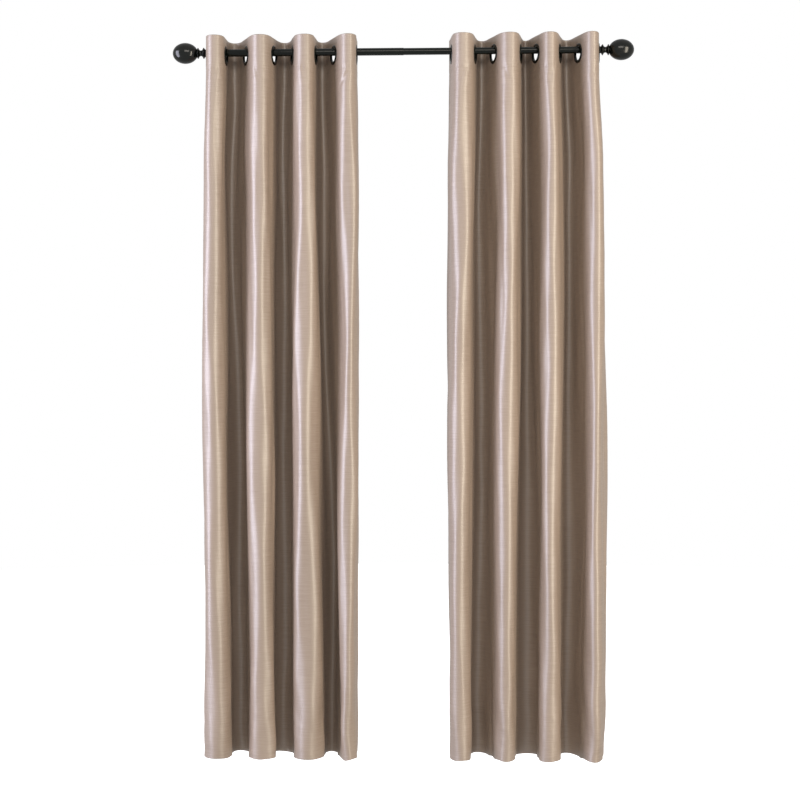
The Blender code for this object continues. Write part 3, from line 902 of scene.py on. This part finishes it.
def turned_edge(radius, lift, steps=5):
    """(distance in from the edge, lift) where cloth turns over an edge to lie at this lift behind."""
    turns = np.linspace(0, math.pi, steps + 1)
    return radius - radius * np.sin(turns), lift / 2 * (1 - np.cos(turns))


def make_cloth(panel):
    inset = 0.9 * MM
    s, t = np.meshgrid(columns_across(panel, inset, panel.width - inset),
                       rows_down(inset, PANEL_HEIGHT - inset))
    mesh = sheet_mesh(panel.name + "_satin", panel, s, t, 0 * s, CLOTH_THICK, True)
    node = panel.name + "_panel_cloth"
    return hang_piece(panel.name + "_satin", panel, mesh, SATIN, [node])


def make_tape(panel):
    s, t = np.meshgrid(columns_across(panel, 2 * MM, panel.width - 2 * MM),
                       rows_down(3 * MM, HEADER - 1 * MM))
    lift = np.full(s.shape, TAPE_LIFT)
    mesh = sheet_mesh(panel.name + "_stiffener", panel, s, t, lift, LINING_THICK, True)
    node = panel.name + "_header_tape"
    return hang_piece(panel.name + "_stiffener", panel, mesh, TAPE, [node])


def make_facing(panel):
    """The cloth turned over the top edge, down behind the stiff tape to the stitch line."""
    turn_t, turn_lift = turned_edge(0.7 * MM, FACING_LIFT)
    down = rows_down(turn_t[-1], HEADER + 3 * MM)
    t_line = np.concatenate([turn_t, down[1:]])
    lift_line = np.concatenate([turn_lift, np.full(len(down) - 1, FACING_LIFT)])
    s, t = np.meshgrid(columns_across(panel, 1 * MM, panel.width - 1 * MM), t_line)
    lift = np.repeat(lift_line[:, None], s.shape[1], 1)
    mesh = sheet_mesh(panel.name + "_header_facing", panel, s, t, lift, LINING_THICK, True)
    return hang_piece(panel.name + "_header_facing", panel, mesh, SATIN_BACK)


def make_bottom_hem(panel):
    turn_t, turn_lift = turned_edge(0.7 * MM, HEM_LIFT)
    up = rows_down(PANEL_HEIGHT - HEM, PANEL_HEIGHT - turn_t[-1])
    t_line = np.concatenate([up[:-1], PANEL_HEIGHT - turn_t[::-1]])
    lift_line = np.concatenate([np.full(len(up) - 1, HEM_LIFT), turn_lift[::-1]])
    s, t = np.meshgrid(columns_across(panel, 0.5 * MM, panel.width - 0.5 * MM), t_line)
    lift = np.repeat(lift_line[:, None], s.shape[1], 1)
    mesh = sheet_mesh(panel.name + "_bottom_hem", panel, s, t, lift, LINING_THICK)
    return hang_piece(panel.name + "_bottom_hem", panel, mesh, SATIN_BACK)


def make_side_hem(panel, place):
    turn_s, turn_lift = turned_edge(0.7 * MM, HEM_LIFT)
    inner = np.linspace(turn_s[-1], SIDE_HEM, 9)
    across = np.concatenate([turn_s, inner[1:]])
    lift_line = np.concatenate([turn_lift, np.full(len(inner) - 1, HEM_LIFT)])
    if place == "leading":
        across, lift_line = panel.width - across[::-1], lift_line[::-1]
    s, t = np.meshgrid(across, rows_down(HEADER + 4 * MM, PANEL_HEIGHT - HEM - 1 * MM))
    lift = np.repeat(lift_line[None], s.shape[0], 0)
    name = f"{panel.name}_{place}_side_hem"
    mesh = sheet_mesh(name, panel, s, t, lift, LINING_THICK)
    return hang_piece(name, panel, mesh, SATIN_BACK)


def stitches(name, panel, s, t, level, length, lifts):
    """A row of short thread loops at these flat places. Each lies along s if level, or along t."""
    sections = np.linspace(-0.5, 0.5, 5)
    arch = np.array([-0.10, 0.12, 0.20, 0.12, -0.10]) * MM
    girth = np.array([0.10, 0.22, 0.25, 0.22, 0.10]) * MM
    sides = 6
    turns = np.arange(sides) * 2 * math.pi / sides
    points, flats = [], []
    for lift in lifts:
        run = sections * length
        s_all = (s[:, None] + (run if level else 0 * run)).ravel()
        t_all = (t[:, None] + (0 * run if level else run)).ravel()
        height = lift + math.copysign(1, lift) * np.tile(arch, len(s))
        middle, across, down, normal = panel.surface(s_all, t_all, height)
        beside = down if level else across
        wide = np.tile(girth, len(s))[:, None, None]
        loop = middle[:, None] + wide * (np.cos(turns)[None, :, None] * normal[:, None]
                                         + np.sin(turns)[None, :, None] * beside[:, None])
        points.append(loop.reshape(-1, 3))
        flats.append(np.repeat(np.stack([s_all, t_all], 1), sides, 0))
    points, flats = np.concatenate(points), np.concatenate(flats)
    ring = np.arange(sides)
    quads = [np.stack([k * sides + ring, k * sides + (ring + 1) % sides, (k + 1) * sides + (ring + 1) % sides,
                       (k + 1) * sides + ring], -1) for k in range(len(sections) - 1)]
    caps = [np.array([[0, 1, 2, 3], [0, 3, 4, 5]]), len(sections) * sides - sides
            + np.array([[3, 2, 1, 0], [5, 4, 3, 0]])]
    one = np.concatenate(quads + caps)
    block = len(sections) * sides
    starts = np.arange(len(points) // block) * block
    faces = (starts[:, None, None] + one[None]).reshape(-1, 4)
    mesh = mesh_from(name, points, faces, flats, panel.share(flats[:, 0]))
    work = bmesh.new()
    work.from_mesh(mesh)
    bmesh.ops.recalc_face_normals(work, faces=work.faces)
    work.to_mesh(mesh)
    work.free()
    return hang_piece(name, panel, mesh, THREAD)


def make_header_stitching(panel):
    pitch = 3.8 * MM
    s = np.arange(6 * MM, panel.width - 5 * MM, pitch)
    t = np.full(len(s), HEADER)
    lifts = (CLOTH_THICK / 2, FACING_LIFT - LINING_THICK / 2)
    return stitches(panel.name + "_header_stitching", panel, s, t, True, 2.7 * MM, lifts)


def make_side_stitching(panel):
    pitch = 7 * MM
    t = np.arange(HEADER + 10 * MM, PANEL_HEIGHT - HEM - 6 * MM, pitch)
    inset = SIDE_HEM - 3 * MM
    s = np.concatenate([np.full(len(t), inset), np.full(len(t), panel.width - inset)])
    lifts = (CLOTH_THICK / 2, HEM_LIFT - LINING_THICK / 2)
    return stitches(panel.name + "_side_stitching", panel, s, np.tile(t, 2), False, 3.4 * MM, lifts)


def make_hem_stitching(panel):
    pitch = 9 * MM
    s = np.arange(8 * MM, panel.width - 6 * MM, pitch)
    t = np.full(len(s), PANEL_HEIGHT - HEM + 2.5 * MM)
    return stitches(panel.name + "_hem_stitching", panel, s, t, True, 3.0 * MM,
                    (CLOTH_THICK / 2 - 0.08 * MM, HEM_LIFT - LINING_THICK / 2))


def make_panel(name, side, seed):
    panel = Panel(name, side, seed)
    rings = make_rings(panel)
    cloth = make_cloth(panel)
    tape = make_tape(panel)
    sewn = [make_facing(panel), make_bottom_hem(panel), make_side_hem(panel, "outer"),
            make_side_hem(panel, "leading"), make_header_stitching(panel), make_side_stitching(panel),
            make_hem_stitching(panel)]
    return panel


# Studio

TARGET = Vector((-0.0035, -0.155, -1.0345))  # what the lights and the camera face
LIGHT_DISTANCE = 3.6
FILL = 0.50  # the white world's strength for all but the camera
FLOOR_DROP = 0.30  # below the hem
FLOOR_RADIUS = 9.0
CAMERA_DISTANCE = 5.0
CAMERA_YAW = math.radians(2.5)


def area_light(name, place, aim, width, height, power, colour):
    light = bpy.data.lights.new(name, "AREA")
    light.shape = "RECTANGLE"
    light.size, light.size_y = width, height
    light.energy = power
    light.color = colour
    obj = bpy.data.objects.new(name, light)
    bpy.context.scene.collection.objects.link(obj)
    obj.location = place
    obj.rotation_euler = (Vector(aim) - Vector(place)).to_track_quat("-Z", "Y").to_euler()


def make_lights(target):
    for name, angle, rise, width, height, power, colour in (
            ("cool_window", -70, 0.35, 1.6, 3.6, 160, (0.84, 0.84, 1.0)),
            ("warm_panel", 49, 0.25, 1.2, 3.7, 124, (1.0, 0.90, 0.74)),
            ("high_fill", 5, 2.20, 2.4, 1.2, 36, (1.0, 0.93, 0.84))):
        turn = math.radians(angle)
        place = target + Vector((math.sin(turn), -math.cos(turn), 0)) * LIGHT_DISTANCE
        place += Vector((0, 0, rise))
        area_light(name, place, target, width, height, power, colour)


def make_world():
    """White where the camera sees it, and a soft even fill on everything else."""
    world = bpy.data.worlds.new("studio")
    bpy.context.scene.world = world
    world.use_nodes = True
    nodes, links = world.node_tree.nodes, world.node_tree.links
    back = nodes["Background"]
    back.inputs["Color"].default_value = (1, 1, 1, 1)
    path = nodes.new("ShaderNodeLightPath")
    strength = nodes.new("ShaderNodeMapRange")
    strength.inputs["To Min"].default_value = FILL
    strength.inputs["To Max"].default_value = 1.0
    links.new(path.outputs["Is Camera Ray"], strength.inputs["Value"])
    links.new(strength.outputs["Result"], back.inputs["Strength"])


def make_floor():
    """A plain pale disc below the hem."""
    material, shader = new_material("pale_floor", Roughness=0.9, Specular_IOR_Level=0.1,
                                    Emission_Color=(1, 1, 1, 1), Emission_Strength=0.98)
    shader.inputs["Base Color"].default_value = (0.86, 0.86, 0.86, 1)
    mesh = bpy.data.meshes.new("floor")
    work = bmesh.new()
    bmesh.ops.create_circle(work, cap_ends=True, segments=96, radius=FLOOR_RADIUS)
    work.to_mesh(mesh)
    work.free()
    mesh.materials.append(material)
    floor = bpy.data.objects.new("floor", mesh)
    floor.location = (0, 0, CAD_BOX[0].z - FLOOR_DROP)
    floor.visible_diffuse = False
    floor.visible_glossy = False
    bpy.context.scene.collection.objects.link(floor)


def make_camera(target):
    """Level, half way down the panels, and a little to the right of square on."""
    data = bpy.data.cameras.new("camera")
    data.lens = 76.77
    data.sensor_width = 36
    data.clip_end = 60
    camera = bpy.data.objects.new("camera", data)
    bpy.context.scene.collection.objects.link(camera)
    away = Vector((math.sin(CAMERA_YAW), -math.cos(CAMERA_YAW), 0))
    camera.location = target + CAMERA_DISTANCE * away
    camera.rotation_euler = (math.pi / 2, 0, CAMERA_YAW)
    bpy.context.scene.camera = camera


bpy.context.scene.view_settings.view_transform = "Standard"
make_rod()
make_bracket("left")
make_bracket("right")
make_panel("left", -1, 11)
make_panel("right", 1, 47)
make_lights(TARGET)
make_world()
make_floor()
make_camera(TARGET)
